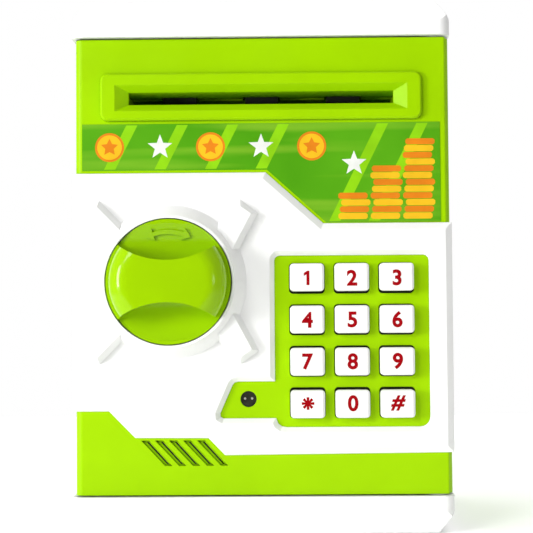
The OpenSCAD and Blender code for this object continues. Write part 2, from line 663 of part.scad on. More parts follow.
module harness_door() color(c_black) {
    z = pin_lo[1] + 1.5;
    cable([[hinge_x, hinge_y, pin_lo[1] + 0.1], [hinge_x, hinge_y, z], [44, hinge_y, z], [44, board_y + board_t + 1.8, z],
        [44, board_y + board_t + 1.8, 40]], cable_r);
}

// ---------- note feeder ----------

module note_guide() color(c_grey) difference() {
    union() {
        for (s = [-1, 1]) {
            x = s > 0 ? guide_in : -guide_in - cheek_t;
            block([x, wall_in, note_z - 8], [x + cheek_t, feed_box[4], note_z + 8.6]);
        }
        // the gear side's cheek comes down to carry the motor
        block([guide_in, -37.8, 116], [guide_in + cheek_t, feed_box[4], note_z - 7]);
        // motor shelf
        block([guide_in - 26, -37.8, motor_yz[1] - 9.5], [guide_in + 0.5, feed_box[4], motor_yz[1] - 7.8]);
        // upper and lower guide plates
        block([-guide_in - 0.5, wall_in, note_z - note_slot_h / 2 - guide_t], [guide_in + 0.5, feed_box[4], note_z - note_slot_h / 2]);
        block([-guide_in - 0.5, wall_in, note_z + note_slot_h / 2], [guide_in + 0.5, feed_box[4], note_z + note_slot_h / 2 + guide_t]);
    }
    for (x = roller_xs) {
        block([x - 6.8, drive_yz[0] - 5.6, note_z - 5], [x + 6.8, drive_yz[0] + 5.6, note_z]);
        block([x - 6.8, pinch_yz[0] - 4.8, note_z], [x + 6.8, pinch_yz[0] + 4.8, note_z + 5]);
    }
    block([-guide_in, pinch_yz[0] - 2.2, note_z], [guide_in, pinch_yz[0] + 2.2, note_z + 5]);
    for (s = [-1, 1]) {
        bar_x(drive_yz, 1.55, s > 0 ? guide_in - 1 : -guide_in - 3, s > 0 ? guide_in + 3 : -guide_in + 1);
        bar_x(pinch_yz, 1.55, s > 0 ? guide_in - 1 : -guide_in - 3, s > 0 ? guide_in + 3 : -guide_in + 1);
    }
    bar_x(idler_yz, 1.2 + eps, guide_in - 1, guide_in + 3);
    bar_x(motor_yz, 3 + eps, guide_in - 1, guide_in + 3);
}

module feed_motor() color(c_steel) difference() {
    union() {
        intersection() {
            bar_x(motor_yz, 10.2, guide_in - 25, guide_in);
            block([0, -60, motor_yz[1] - 7.7], [60, 0, motor_yz[1] + 7.7]);
        }
        bar_x(motor_yz, 3, guide_in - 1, guide_in + cheek_t);
        bar_x(motor_yz, 3, guide_in - 26.5, guide_in - 24);
    }
    bar_x(motor_yz, 1.05, guide_in - 6, guide_in + 5);
}

module idler_pin() color(c_steel) {
    bar_x(idler_yz, 1.2, guide_in - 0.4, gear_x2 + 2.9);
    bar_x(idler_yz, 2.2, guide_in - 1.2, guide_in);
}

module drive_shaft() color(c_steel) bar_x(drive_yz, 1.5, -guide_in - cheek_t - 1.2, gear_x2 + 2.8);

module drive_rollers() color(c_black) for (x = roller_xs) difference() {
    bar_x(drive_yz, roller_r, x - 6, x + 6);
    bar_x(drive_yz, 1.5 + eps, x - 7, x + 7);
}

module pinch_shaft() color(c_steel) bar_x(pinch_yz, 1.5, -guide_in - cheek_t - 0.6, guide_in + cheek_t + 0.3);

module pinch_rollers() color(c_white) for (x = roller_xs) difference() {
    bar_x(pinch_yz, pinch_r, x - 6, x + 6);
    bar_x(pinch_yz, 1.5 + eps, x - 7, x + 7);
}

// gear on a shaft along X, turned by a so that the teeth mesh
module gear_x(p, x0, x1, n, a, bore) {
    along_x(x0, x1) translate(p) difference() {
        rotate(a) gear_2d(n, feed_m);
        circle(bore);
    }
}

module drive_gear() color(c_white) gear_x(drive_yz, gear_x2, gear_x2 + 2.6, gear_big, -75, 1.5 + eps);

module idler_gear() color(c_white) difference() {
    union() {
        gear_x(idler_yz, gear_x1 + 1.9, gear_x2 + 2.6, gear_small, 105 + 180 / gear_small, 0.8);
        gear_x(idler_yz, gear_x1, gear_x1 + 2, gear_big, -100, 0.8);
    }
    bar_x(idler_yz, 1.25, 0, 80);
}

module motor_pinion() color(c_steel) {
    gear_x(motor_yz, gear_x1, gear_x1 + 2.2, gear_small, 80 + 180 / gear_small, 0.5);
    bar_x(motor_yz, 1, guide_in - 5.5, gear_x1 + 2.2);
}

// ---------- keys ----------

module key(i) {
    // the caps of the rows stand a little further apart than their holes and flanges
    h = key_at(i);
    p = h + [0, (1.5 - floor(i / 3)) * 0.2];
    c = 0.8;
    translate([p[0], 0, p[1]]) intersection() {
        along_y(key_face_y, flange_y + 0.3) rrect(key_w, key_h, 1.4);
        along_z(-key_h, key_h) polygon([[-key_w / 2 + c, key_face_y], [key_w / 2 - c, key_face_y],
            [key_w / 2, key_face_y + c], [key_w / 2, 0], [-key_w / 2, 0], [-key_w / 2, key_face_y + c]]);
        along_x(-key_w, key_w) polygon([[key_face_y, -key_h / 2 + c], [key_face_y + c, -key_h / 2], [0, -key_h / 2],
            [0, key_h / 2], [key_face_y + c, key_h / 2], [key_face_y, key_h / 2 - c]]);
    }
    along_y(flange_y, flange_y + flange_t) translate(h) rrect(key_flange[0], key_flange[1], 1.4);
}

module key_1() color(c_white) key(0);
module key_2() color(c_white) key(1);
module key_3() color(c_white) key(2);
module key_4() color(c_white) key(3);
module key_5() color(c_white) key(4);
module key_6() color(c_white) key(5);
module key_7() color(c_white) key(6);
module key_8() color(c_white) key(7);
module key_9() color(c_white) key(8);
module key_star() color(c_white) key(9);
module key_0() color(c_white) key(10);
module key_hash() color(c_white) key(11);

// ---------- knob and latch ----------

module knob() color(c_green) difference() {
    union() {
        translate([knob_x, 0, knob_z]) rotate([90, 0, 0]) difference() {
            rotate_extrude($fn = 72) {
                translate([0, -disc_y]) square([knob_r, disc_y - ledge_y]);
                translate([0, -disc_y]) square([grip_r, disc_y - tip_y - 7]);
                translate([0, -disc_y]) square([grip_r - 7, disc_y - tip_y]);
                intersection() {
                    translate([grip_r - 7, -tip_y - 7]) circle(7, $fn = 56);
                    translate([0, -tip_y - 8]) square([grip_r + 1, 9]);
                }
            }
            // the two finger hollows, each bounded by a drum behind and a wall curved in plan
            for (s = [-1, 1]) intersection() {
                translate([0, s * (grip_waist / 2 + 29.6), -tip_y - 30]) cylinder(r = 29.6, h = 60, $fn = 96);
                translate([-40, s * 11, -tip_y + 13.5]) rotate([0, 90, 0]) cylinder(r = 24, h = 80, $fn = 96);
            }
        }
        bar_y([knob_x, knob_z], hub_r, disc_y - 1, bush_end + 0.1);
        bar_y([knob_x, knob_z], spindle_r, disc_y - 1, latch_y[1] - 0.3);
    }
    bar_y([knob_x, knob_z], 1.2 + eps, latch_y[1] - 9.3, 0);
}

module latch_pinion() color(c_white) difference() {
    union() {
        bar_y([knob_x, knob_z], 8.4, bush_end + 0.3, bush_end + 1.8);
        bar_y([knob_x, knob_z], 4, bush_end + 1, latch_y[1]);
        along_y(latch_y[0], latch_y[1]) translate([knob_x, knob_z]) rotate(90) gear_2d(latch_n, latch_m, 0.2);
    }
    bar_y([knob_x, knob_z], spindle_r + eps, -60, 0);
}

module knob_screw() color(c_steel)
    translate([knob_x, latch_y[1], knob_z]) rotate([90, 0, 0]) screw(1.2, 8.5, 3.6, 1.6);

// rack teeth hang under the bar and mesh with the pinion
module latch_bolt() color(c_steel) along_y(bolt_y[0], bolt_y[1]) difference() {
    z0 = knob_z + latch_pr;
    p = latch_m * PI;
    union() {
        translate([bolt_tip, z0 + latch_m * 1.15]) square([40.1, bolt_top - z0 - latch_m * 1.15]);
        translate([bolt_tip, knob_z - 5.5]) square([9, bolt_top - knob_z + 5.5]);
        for (k = [-2:5]) translate([knob_x + (k + 0.5) * p, z0]) polygon([
            [-p / 4 + 0.12 - 0.5, latch_m * 1.3], [-p / 4 + 0.12 + 0.33, -latch_m * 0.8],
            [p / 4 - 0.12 - 0.33, -latch_m * 0.8], [p / 4 - 0.12 + 0.5, latch_m * 1.3]]);
    }
    for (x = [plunger_x, plunger_x + bolt_throw]) translate([x - 1.8, bolt_top - 2.8]) square([3.6, 5]);
}

module lock_plunger() color(c_steel) translate([plunger_x, plunger_y, bolt_top + 0.3]) {
    cylinder(r = plunger_r, h = 23.7);
    translate([0, 0, 23.7]) cylinder(r = 3, h = 1.2);
}

module solenoid_frame() color(c_steel) difference() {
    y1 = latch_box[4];
    union() {
        block([plunger_x - 6.5, plunger_y - 6, coil_z[0]], [plunger_x + 6.5, y1, coil_z[0] + 1.4]);
        block([plunger_x - 6.5, plunger_y - 6, coil_z[1] - 1.4], [plunger_x + 6.5, y1, coil_z[1]]);
        block([plunger_x - 6.5, plunger_y - 6, coil_z[0]], [plunger_x + 6.5, plunger_y - 4.9, coil_z[1]]);
    }
    translate([plunger_x, plunger_y, 0]) cylinder(r = plunger_r + 0.05, h = 150);
}

module solenoid_coil() color(c_copper) difference() {
    union() {
        translate([plunger_x, plunger_y, coil_z[0] + 2.4]) cylinder(r = 4.4, h = coil_z[1] - coil_z[0] - 4.8);
        for (z = [coil_z[0] + 1.4, coil_z[1] - 2.4]) translate([plunger_x, plunger_y, z]) cylinder(r = 4.8, h = 1);
    }
    translate([plunger_x, plunger_y, 0]) cylinder(r = plunger_r + 0.3, h = 150);
}

case_shell();
top_cap();
base_cap();
battery_cover();
battery_cover_screw();
battery_contacts();
battery_cell_1();
battery_cell_2();
battery_cell_3();
case_screws_lower();
case_screws_upper();
hinge_pin_lower();
hinge_pin_upper();
harness_base();
door_shell();
door_overlay();
door_label();
door_back_cover();
door_screws();
keypad_membrane();
main_board();
board_screws();
led_lens();
led_red();
led_green();
speaker();
harness_door();
note_guide();
feed_motor();
idler_pin();
solenoid_frame();
solenoid_coil();
key_1();
key_2();
key_3();
key_4();
key_5();
key_6();
key_7();
key_8();
key_9();
key_star();
key_0();
key_hash();
knob();
latch_pinion();
knob_screw();
latch_bolt();
lock_plunger();
drive_shaft();
drive_rollers();
drive_gear();
pinch_shaft();
pinch_rollers();
idler_gear();
motor_pinion();
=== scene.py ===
"""Toy safe coin bank: looks, keypad sheet, printing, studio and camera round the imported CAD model."""
import math

import bmesh
import bpy
from mathutils import Matrix, Vector
from mathutils.bvhtree import BVHTree


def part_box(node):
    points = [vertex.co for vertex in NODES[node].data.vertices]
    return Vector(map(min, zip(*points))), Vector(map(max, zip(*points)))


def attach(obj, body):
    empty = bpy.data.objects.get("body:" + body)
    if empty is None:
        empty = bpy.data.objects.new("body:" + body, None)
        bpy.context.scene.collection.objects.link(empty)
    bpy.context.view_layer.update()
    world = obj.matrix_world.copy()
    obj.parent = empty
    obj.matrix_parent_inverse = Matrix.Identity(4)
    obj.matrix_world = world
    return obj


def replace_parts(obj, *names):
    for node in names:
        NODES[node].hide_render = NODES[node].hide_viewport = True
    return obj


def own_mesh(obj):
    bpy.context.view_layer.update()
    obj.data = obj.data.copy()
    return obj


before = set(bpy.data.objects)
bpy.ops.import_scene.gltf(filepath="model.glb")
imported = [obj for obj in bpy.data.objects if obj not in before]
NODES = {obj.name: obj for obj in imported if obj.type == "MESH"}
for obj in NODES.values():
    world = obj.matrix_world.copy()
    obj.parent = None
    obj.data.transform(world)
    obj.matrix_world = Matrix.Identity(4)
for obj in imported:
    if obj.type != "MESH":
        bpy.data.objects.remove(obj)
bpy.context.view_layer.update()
MM = 0.001


# ---------------------------------------------------------------- materials

def srgb(r, g, b):
    """Linear colour of an 8-bit sRGB one."""
    out = []
    for c in (r, g, b):
        c /= 255
        out.append(c / 12.92 if c <= 0.04045 else ((c + 0.055) / 1.055) ** 2.4)
    return tuple(out) + (1.0,)


class Mat:
    """A node material: Principled BSDF with helpers for its inputs."""

    def __init__(self, name, rough=0.4, metallic=0.0, coat=0.0, spec=0.5):
        self.m = bpy.data.materials.new(name)
        self.m.use_nodes = True
        self.t = self.m.node_tree
        self.t.nodes.clear()
        self.out = self.t.nodes.new("ShaderNodeOutputMaterial")
        self.b = self.t.nodes.new("ShaderNodeBsdfPrincipled")
        self.t.links.new(self.b.outputs[0], self.out.inputs[0])
        self.b.inputs["Roughness"].default_value = rough
        self.b.inputs["Metallic"].default_value = metallic
        self.b.inputs["Coat Weight"].default_value = coat
        self.b.inputs["Coat Roughness"].default_value = 0.08
        self.b.inputs["Specular IOR Level"].default_value = spec
        self.b.inputs["IOR"].default_value = 1.46
        self.co = self.t.nodes.new("ShaderNodeTexCoord").outputs["Object"]

    def node(self, kind, **props):
        n = self.t.nodes.new(kind)
        for k, v in props.items():
            setattr(n, k, v)
        return n

    def link(self, a, b):
        self.t.links.new(a, b)

    def noise(self, scale, detail=3.0, rough=0.55, stretch=None):
        n = self.node("ShaderNodeTexNoise")
        n.inputs["Scale"].default_value = scale
        n.inputs["Detail"].default_value = detail
        n.inputs["Roughness"].default_value = rough
        co = self.co
        if stretch:
            mp = self.node("ShaderNodeMapping")
            mp.inputs["Scale"].default_value = stretch
            self.link(co, mp.inputs[0])
            co = mp.outputs[0]
        self.link(co, n.inputs["Vector"])
        return n.outputs["Fac"]

    def ramp(self, fac, stops):
        r = self.node("ShaderNodeValToRGB")
        els = r.color_ramp.elements
        while len(els) < len(stops):
            els.new(0.5)
        for e, (pos, col) in zip(els, stops):
            e.position = pos
            e.color = col if len(col) == 4 else tuple(col) + (1,)
        self.link(fac, r.inputs[0])
        return r.outputs[0]

    def span(self, fac, lo, hi, a=0.0, b=1.0):
        """Maps lo..hi onto a..b."""
        r = self.node("ShaderNodeMapRange")
        r.inputs["From Min"].default_value = lo
        r.inputs["From Max"].default_value = hi
        r.inputs["To Min"].default_value = a
        r.inputs["To Max"].default_value = b
        self.link(fac, r.inputs[0])
        return r.outputs[0]

    def mix(self, fac, a, b, kind="MIX"):
        n = self.node("ShaderNodeMix", data_type="RGBA", blend_type=kind)
        for sock, v in ((n.inputs[0], fac), (n.inputs[6], a), (n.inputs[7], b)):
            if hasattr(v, "links"):
                self.link(v, sock)
            else:
                sock.default_value = v
        return n.outputs[2]

    def colour(self, c):
        if hasattr(c, "links"):
            self.link(c, self.b.inputs["Base Color"])
        else:
            self.b.inputs["Base Color"].default_value = c
        return self

    def rough(self, fac, lo, hi):
        """Roughness that follows a noise, over the middle of its range."""
        self.link(self.span(fac, 0.3, 0.7, lo, hi), self.b.inputs["Roughness"])
        return self

    def bump(self, fac, strength, dist, edge=0.0):
        """Surface relief. edge is the radius of the moulding's broken edges, in metres."""
        n = self.node("ShaderNodeBump")
        if edge:
            b = self.node("ShaderNodeBevel", samples=6)
            b.inputs["Radius"].default_value = edge
            self.link(b.outputs[0], n.inputs["Normal"])
        n.inputs["Strength"].default_value = strength
        n.inputs["Distance"].default_value = dist
        self.link(fac, n.inputs["Height"])
        self.link(n.outputs[0], self.b.inputs["Normal"])
        return self


def tint(c, k):
    return tuple(min(1, v * k) for v in c[:3]) + (1,)


def moulded(name, col, rough=(0.3, 0.42), grain=2600, depth=0.02, coat=0.0, vary=0.05, spec=0.5, edge=0.0,
             crease_shade=0.0):
    """Injection-moulded plastic: fine spark-eroded grain and faint flow variation.

    edge is the radius of its broken edges, and gaps narrower than the crease width get painted shade, both in
    metres.
    """
    m = Mat(name, coat=coat, spec=spec)
    flow = m.noise(26, 4)
    base = m.ramp(flow, [(0.3, tint(col, 1 - vary)), (0.7, tint(col, 1 + vary))])
    # painted shade: ambient occlusion darkens the colour towards a near-black copy in narrow gaps and creases
    if crease_shade:
        shade_ao = m.node("ShaderNodeAmbientOcclusion", samples=8)
        shade_ao.inputs["Distance"].default_value = crease_shade
        base = m.mix(m.span(shade_ao.outputs["AO"], 0.35, 0.75), tint(col, 0.3), base)
    m.colour(base)
    m.rough(m.noise(60, 5), *rough)
    m.bump(m.noise(grain, 2, 0.6), depth, 0.0002, edge)
    return m.m


def metal(name, col, rough=(0.25, 0.42), stretch=None):
    """Worked metal. stretch draws its fine marks out along the axes with the smaller numbers."""
    m = Mat(name, metallic=1.0)
    n = m.noise(120, 5)
    m.colour(m.ramp(n, [(0.3, tint(col, 0.82)), (0.7, col)]))
    marks = 900
    m.rough(m.noise(marks, 4, 0.6, stretch), *rough)
    m.bump(m.noise(marks, 4, 0.6, stretch), 0.12, 0.00005)
    return m.m


def key_plastic(name):
    """White key caps whose colour turns to a dark painted shade just inside the door's face, where the gaps
    round the keys show.
    """
    m = Mat(name, spec=0.35)
    painted_shade_from, white_from = -0.0455, -0.0458
    sep = m.node("ShaderNodeSeparateXYZ")
    m.link(m.co, sep.inputs[0])
    cap = m.ramp(m.noise(26, 3), [(0.3, (0.83, 0.83, 0.82)), (0.7, (0.86, 0.86, 0.85))])
    # painted shade: the keys' sides behind the door's face are coloured near-black so the gaps round them
    # look shaded
    m.colour(m.mix(m.span(sep.outputs["Y"], white_from, painted_shade_from), cap, (0.03, 0.035, 0.02, 1)))
    m.rough(m.noise(60, 5), 0.28, 0.36)
    m.bump(m.noise(2600, 2), 0.01, 0.0002)
    return m.m


GREEN = (0.305, 0.575, 0.0, 1)
WHITE = (0.84, 0.84, 0.83, 1)
# the green plastic gets painted shade in its gaps narrower than 1.1 mm
green_body = moulded("green_body", GREEN, rough=(0.30, 0.40), depth=0.03, spec=0.08, edge=0.0004,
                     crease_shade=0.0011)
green_knob = moulded("green_knob", (0.275, 0.505, 0.0, 1), rough=(0.10, 0.14), depth=0.0, spec=0.22)
white_body = moulded("white_body", WHITE, rough=(0.34, 0.44), depth=0.03, vary=0.02, edge=0.0004)
white_key = key_plastic("white_key")
acetal = moulded("acetal", (0.72, 0.72, 0.68, 1), rough=(0.35, 0.5), depth=0.05)
black_abs = moulded("black_abs", (0.014, 0.014, 0.015, 1), rough=(0.4, 0.55), depth=0.1)
silicone = moulded("silicone", (0.36, 0.37, 0.38, 1), rough=(0.5, 0.65), depth=0.08)
rubber = moulded("rubber", (0.02, 0.02, 0.02, 1), rough=(0.6, 0.8), depth=0.2, grain=1800)
cable = moulded("cable", (0.015, 0.015, 0.016, 1), rough=(0.4, 0.5), depth=0.02)
print_red = moulded("print_red", srgb(150, 2, 12), rough=(0.35, 0.45), depth=0.0, vary=0.03, spec=0.08)
steel = metal("steel", (0.62, 0.63, 0.65, 1))
screw_steel = metal("screw_steel", (0.66, 0.67, 0.70, 1), rough=(0.22, 0.36))
spring_steel = metal("spring_steel", (0.72, 0.71, 0.68, 1), rough=(0.2, 0.3))
motor_can = metal("motor_can", (0.60, 0.61, 0.64, 1), rough=(0.3, 0.42), stretch=(1, 8, 8))
brass = metal("brass", (0.75, 0.55, 0.22, 1))


def make_window():
    """Smoked plastic of the indicator window, dark with a faint cloudiness."""
    m = Mat("dark_window", rough=0.12, spec=0.25)
    m.colour(m.ramp(m.noise(400, 3), [(0.35, (0.012, 0.013, 0.009, 1)), (0.7, (0.028, 0.030, 0.020, 1))]))
    m.rough(m.noise(200, 3), 0.1, 0.2)
    return m.m


def make_led(name, col):
    """Tinted lamp resin, deeper in colour in places."""
    m = Mat(name, rough=0.15, coat=0.3)
    m.colour(m.ramp(m.noise(500, 2), [(0.3, tint(col, 0.7)), (0.8, col)]))
    return m.m


def make_coil():
    """Enamelled copper wire, with fine ridges for its turns."""
    m = Mat("winding", rough=0.3, coat=0.4, metallic=0.6)
    w = m.node("ShaderNodeTexWave", bands_direction="Z")
    w.inputs["Scale"].default_value = 900
    w.inputs["Distortion"].default_value = 0.6
    m.link(m.co, w.inputs["Vector"])
    m.colour(m.ramp(w.outputs["Fac"], [(0.2, (0.20, 0.07, 0.02, 1)), (0.8, (0.62, 0.27, 0.10, 1))]))
    m.bump(w.outputs["Fac"], 0.5, 0.0002)
    return m.m


def make_board():
    """Circuit board: green resist over copper tracks, with pale pads."""
    m = Mat("board", rough=0.3, coat=0.3)
    v = m.node("ShaderNodeTexVoronoi", distance="MANHATTAN")
    v.inputs["Scale"].default_value = 260
    mp = m.node("ShaderNodeMapping")
    mp.inputs["Scale"].default_value = (1, 0.02, 1)
    m.link(m.co, mp.inputs[0])
    m.link(mp.outputs[0], v.inputs["Vector"])
    tracks = m.ramp(v.outputs["Distance"], [(0.30, (0, 0, 0)), (0.34, (1, 1, 1))])
    pads = m.ramp(v.outputs["Distance"], [(0.09, (1, 1, 1)), (0.11, (0, 0, 0))])
    c = m.mix(tracks, (0.012, 0.13, 0.04, 1), (0.02, 0.20, 0.06, 1))
    m.colour(m.mix(pads, c, (0.62, 0.62, 0.58, 1)))
    m.bump(v.outputs["Distance"], 0.1, 0.0001)
    return m.m


def make_cell():
    """Battery jacket: dark film with a coloured band at one end and a fine foil sheen."""
    m = Mat("cell_jacket", rough=0.28, metallic=0.55, coat=0.4)
    sep = m.node("ShaderNodeSeparateXYZ")
    m.link(m.co, sep.inputs[0])
    along = m.span(sep.outputs["X"], -0.026, 0.026)
    band = m.ramp(along, [(0.30, (0.05, 0.05, 0.055)), (0.31, (0.55, 0.36, 0.08))])
    foil = m.noise(800, 3, 0.5, (0.1, 1, 1))
    m.colour(m.mix(foil, band, (0.75, 0.72, 0.62, 1), "SOFT_LIGHT"))
    m.rough(foil, 0.22, 0.38)
    return m.m


def make_label():
    """Printed film: green field with a soft mottle and slanting rays of light from the upper right."""
    m = Mat("label_film", rough=0.3, spec=0.15)
    mp = m.node("ShaderNodeMapping")
    mp.inputs["Rotation"].default_value = (0, math.radians(38), 0)
    mp.inputs["Scale"].default_value = (6, 1, 95)
    m.link(m.co, mp.inputs[0])
    n = m.node("ShaderNodeTexNoise")
    n.inputs["Scale"].default_value = 1.0
    n.inputs["Detail"].default_value = 2.5
    m.link(mp.outputs[0], n.inputs["Vector"])
    field = m.ramp(m.noise(18, 3), [(0.3, (0.055, 0.27, 0.003)), (0.7, (0.10, 0.37, 0.008))])
    rays = m.ramp(n.outputs["Fac"], [(0.52, (0, 0, 0)), (0.70, (0.5, 0.5, 0.5))])
    m.colour(m.mix(rays, field, (0.42, 0.62, 0.05, 1)))
    return m.m


window_mat = make_window()
dome_mat = moulded("led_resin", (0.30, 0.29, 0.26, 1), rough=(0.05, 0.1), depth=0.0, spec=0.9)
coil_mat = make_coil()
label_mat = make_label()
FINISH = {
    "green_body": (green_body, ["case_shell", "door_shell", "note_guide"]),
    "knob": (green_knob, ["knob"]),
    "white": (white_body, ["top_cap", "base_cap", "battery_cover", "door_overlay", "door_back_cover"]),
    "key": (white_key, [n for n in NODES if n.startswith("key_")]),
    "label": (label_mat, ["door_label"]),
    "screw": (screw_steel, ["battery_cover_screw", "case_screws_lower", "case_screws_upper", "door_screws",
                            "board_screws", "knob_screw"]),
    "steel": (steel, ["hinge_pin_lower", "hinge_pin_upper", "idler_pin", "drive_shaft", "pinch_shaft",
                      "lock_plunger", "latch_bolt", "solenoid_frame"]),
    "contact": (spring_steel, ["battery_contacts"]),
    "can": (motor_can, ["feed_motor"]),
    "cell": (make_cell(), ["battery_cell_1", "battery_cell_2", "battery_cell_3"]),
    "cable": (cable, ["harness_base", "harness_door"]),
    "silicone": (silicone, ["keypad_membrane"]),
    "board": (make_board(), ["main_board"]),
    "window": (window_mat, ["led_lens"]),
    "led_r": (make_led("led_red_resin", (0.55, 0.06, 0.05, 1)), ["led_red"]),
    "led_g": (make_led("led_green_resin", (0.18, 0.50, 0.16, 1)), ["led_green"]),
    "black": (black_abs, ["speaker"]),
    "coil": (coil_mat, ["solenoid_coil"]),
    "acetal": (acetal, ["latch_pinion", "drive_gear", "idler_gear"]),
    "brass": (brass, ["motor_pinion"]),
    "rubber": (rubber, ["drive_rollers", "pinch_rollers"]),
}


def dress(obj, mat):
    """One material on every slot of an object."""
    if not obj.material_slots:
        obj.data.materials.append(mat)
    for s in obj.material_slots:
        s.material = mat


for mat, names in FINISH.values():
    for n in names:
        dress(NODES[n], mat)


def soften(node, width, segments=2):
    """Rounds a CAD node's sharp edges: joined vertices, flat faces in one piece, then a narrow bevel."""
    weld = NODES[node].modifiers.new("weld", "WELD")
    weld.merge_threshold = 0.000002
    flat = NODES[node].modifiers.new("flat", "DECIMATE")
    flat.decimate_type = "DISSOLVE"
    flat.angle_limit = math.radians(0.6)
    edge = NODES[node].modifiers.new("edge", "BEVEL")
    edge.width = width
    edge.segments = segments
    edge.limit_method = "ANGLE"
    edge.angle_limit = math.radians(32)
    edge.use_clamp_overlap = False
    edge.miter_outer = "MITER_ARC"


for n in NODES:
    if n.startswith("key_"):
        soften(n, 0.00022)


# ---------------------------------------------------------------- mesh helpers

def mesh_object(name, bm, mat, body, smooth=None):
    """A new piece that rides on a body. smooth is the angle, in degrees, above which its edges stay sharp."""
    me = bpy.data.meshes.new(name)
    bm.normal_update()
    bm.to_mesh(me)
    bm.free()
    o = bpy.data.objects.new(name, me)
    bpy.context.scene.collection.objects.link(o)
    me.materials.append(mat)
    if smooth is not None:
        for p in me.polygons:
            p.use_smooth = True
        me.set_sharp_from_angle(angle=math.radians(smooth))
    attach(o, body)
    return o


def prism(bm, pts, y0, y1):
    """Adds a flat plate with outline pts in (x, z) mm, from y0 (front) to y1."""
    front = [bm.verts.new((x * MM, y0 * MM, z * MM)) for x, z in pts]
    back = [bm.verts.new((x * MM, y1 * MM, z * MM)) for x, z in pts]
    bm.faces.new(front)
    bm.faces.new(list(reversed(back)))
    n = len(pts)
    for i in range(n):
        j = (i + 1) % n
        bm.faces.new((front[j], front[i], back[i], back[j]))


# ---------------------------------------------------------------- keypad sheet

def round_rect(x0, z0, x1, z1, r, n=6):
    """Outline of a rectangle with round corners, anticlockwise."""
    corners = ((x1 - r, z1 - r, 0), (x0 + r, z1 - r, 90), (x0 + r, z0 + r, 180), (x1 - r, z0 + r, 270))
    return [(cx + r * math.cos(math.radians(a + 90 * k / n)), cz + r * math.sin(math.radians(a + 90 * k / n)))
            for cx, cz, a in corners for k in range(n + 1)]


def keypad_sheet():
    """Rubber sheet with one dome behind each key."""
    thick, flattens, turns = 1.2 * MM, 1.18 * MM, 28
    lo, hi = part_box("keypad_membrane")
    front = hi.y - thick
    bm = bmesh.new()
    prism(bm, round_rect(lo.x / MM, lo.z / MM, hi.x / MM, hi.z / MM, 2), front / MM, hi.y / MM)
    bmesh.ops.recalc_face_normals(bm, faces=bm.faces[:])
    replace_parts(mesh_object("keypad_sheet", bm, silicone, "door"), "keypad_membrane")
    height = front - lo.y
    # (radius in mm, height over the sheet), from the foot up
    profile = [(4.4, -0.05 * MM), (4.4, 0.0), (4.1, 0.3 * height), (3.1, 0.8 * height),
               (2.8, height - 0.15 * MM), (2.55, height)]
    for key in list("1234567890") + ["star", "hash"]:
        klo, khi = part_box("key_" + key)
        cx, cz = (klo.x + khi.x) / 2, (klo.z + khi.z) / 2
        bm = bmesh.new()
        rings = [[bm.verts.new((cx + r * MM * math.cos(2 * math.pi * k / turns), front - h,
                                cz + r * MM * math.sin(2 * math.pi * k / turns))) for k in range(turns)]
                 for r, h in profile]
        for one, two in zip(rings, rings[1:]):
            for k in range(turns):
                bm.faces.new((one[k], one[(k + 1) % turns], two[(k + 1) % turns], two[k]))
        bm.faces.new(rings[0])
        bm.faces.new(rings[-1])
        bmesh.ops.recalc_face_normals(bm, faces=bm.faces[:])
        dome = mesh_object("dome_" + key, bm, silicone, "door", smooth=40)
        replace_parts(dome, "keypad_membrane")
        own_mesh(dome)


keypad_sheet()

# ---------------------------------------------------------------- key figures

def legend(text, key, size, shear=0.0):
    """A printed figure on a key's face, size mm high, as thin mesh from a text outline."""
    ink_depth = 0.00003
    lo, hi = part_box("key_" + key)
    cu = bpy.data.curves.new("fig", "FONT")
    cu.body = text
    cu.size = size * MM
    cu.shear = shear
    cu.offset = 0.00024
    cu.align_x = "CENTER"
    cu.align_y = "CENTER"
    cu.extrude = ink_depth
    cu.resolution_u = 6
    t = bpy.data.objects.new("fig", cu)
    bpy.context.scene.collection.objects.link(t)
    t.matrix_world = Matrix.Rotation(math.radians(90), 4, "X")
    bpy.context.view_layer.update()
    me = bpy.data.meshes.new_from_object(t.evaluated_get(bpy.context.evaluated_depsgraph_get()))
    me.transform(t.matrix_world)
    bpy.data.objects.remove(t)
    xs = [v.co.x for v in me.vertices]
    zs = [v.co.z for v in me.vertices]
    dx = (lo.x + hi.x) / 2 - (min(xs) + max(xs)) / 2
    dz = (lo.z + hi.z) / 2 - (min(zs) + max(zs)) / 2
    me.transform(Matrix.Translation((dx, lo.y - ink_depth, dz)))
    me.name = "legend_key_" + key
    o = bpy.data.objects.new(me.name, me)
    bpy.context.scene.collection.objects.link(o)
    dress(o, print_red)
    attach(o, "key_%s_body" % key)


def drawn_legend(key, shapes):
    """A printed figure made of flat shapes, in mm from the middle of the key's face."""
    lo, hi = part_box("key_" + key)
    cx, cz, y = (lo.x + hi.x) / 2 / MM, (lo.z + hi.z) / 2 / MM, lo.y / MM
    bm = bmesh.new()
    for k, pts in enumerate(shapes):
        prism(bm, [(cx + x, cz + z) for x, z in pts], y - 0.04 - 0.004 * k, y - 0.002)
    bmesh.ops.recalc_face_normals(bm, faces=bm.faces[:])
    mesh_object("legend_key_" + key, bm, print_red, "key_%s_body" % key)


def bar(length, w0, w1, turn):
    """A bar from the origin, turned by an angle, with half width w0 there and w1 at its far end."""
    c, s = math.cos(math.radians(turn)), math.sin(math.radians(turn))
    pts = [(0, -w0), (length, -w1), (length, w1), (0, w0)]
    return [(x * c - z * s, x * s + z * c) for x, z in pts]


for figure in "234567890":
    legend(figure, figure, 7.4)
legend("#", "hash", 7.0, 0.25)
stroke = [(0.85, -2.5), (0.85, 2.6), (0.1, 2.6), (-1.15, 1.75), (-1.15, 0.75), (-0.2, 1.3), (-0.2, -2.5)]
drawn_legend("1", [stroke])
drawn_legend("star", [bar(2.2, 0.3, 0.5, 45 * k) for k in range(8)])

# ---------------------------------------------------------------- knob arrow and lamps

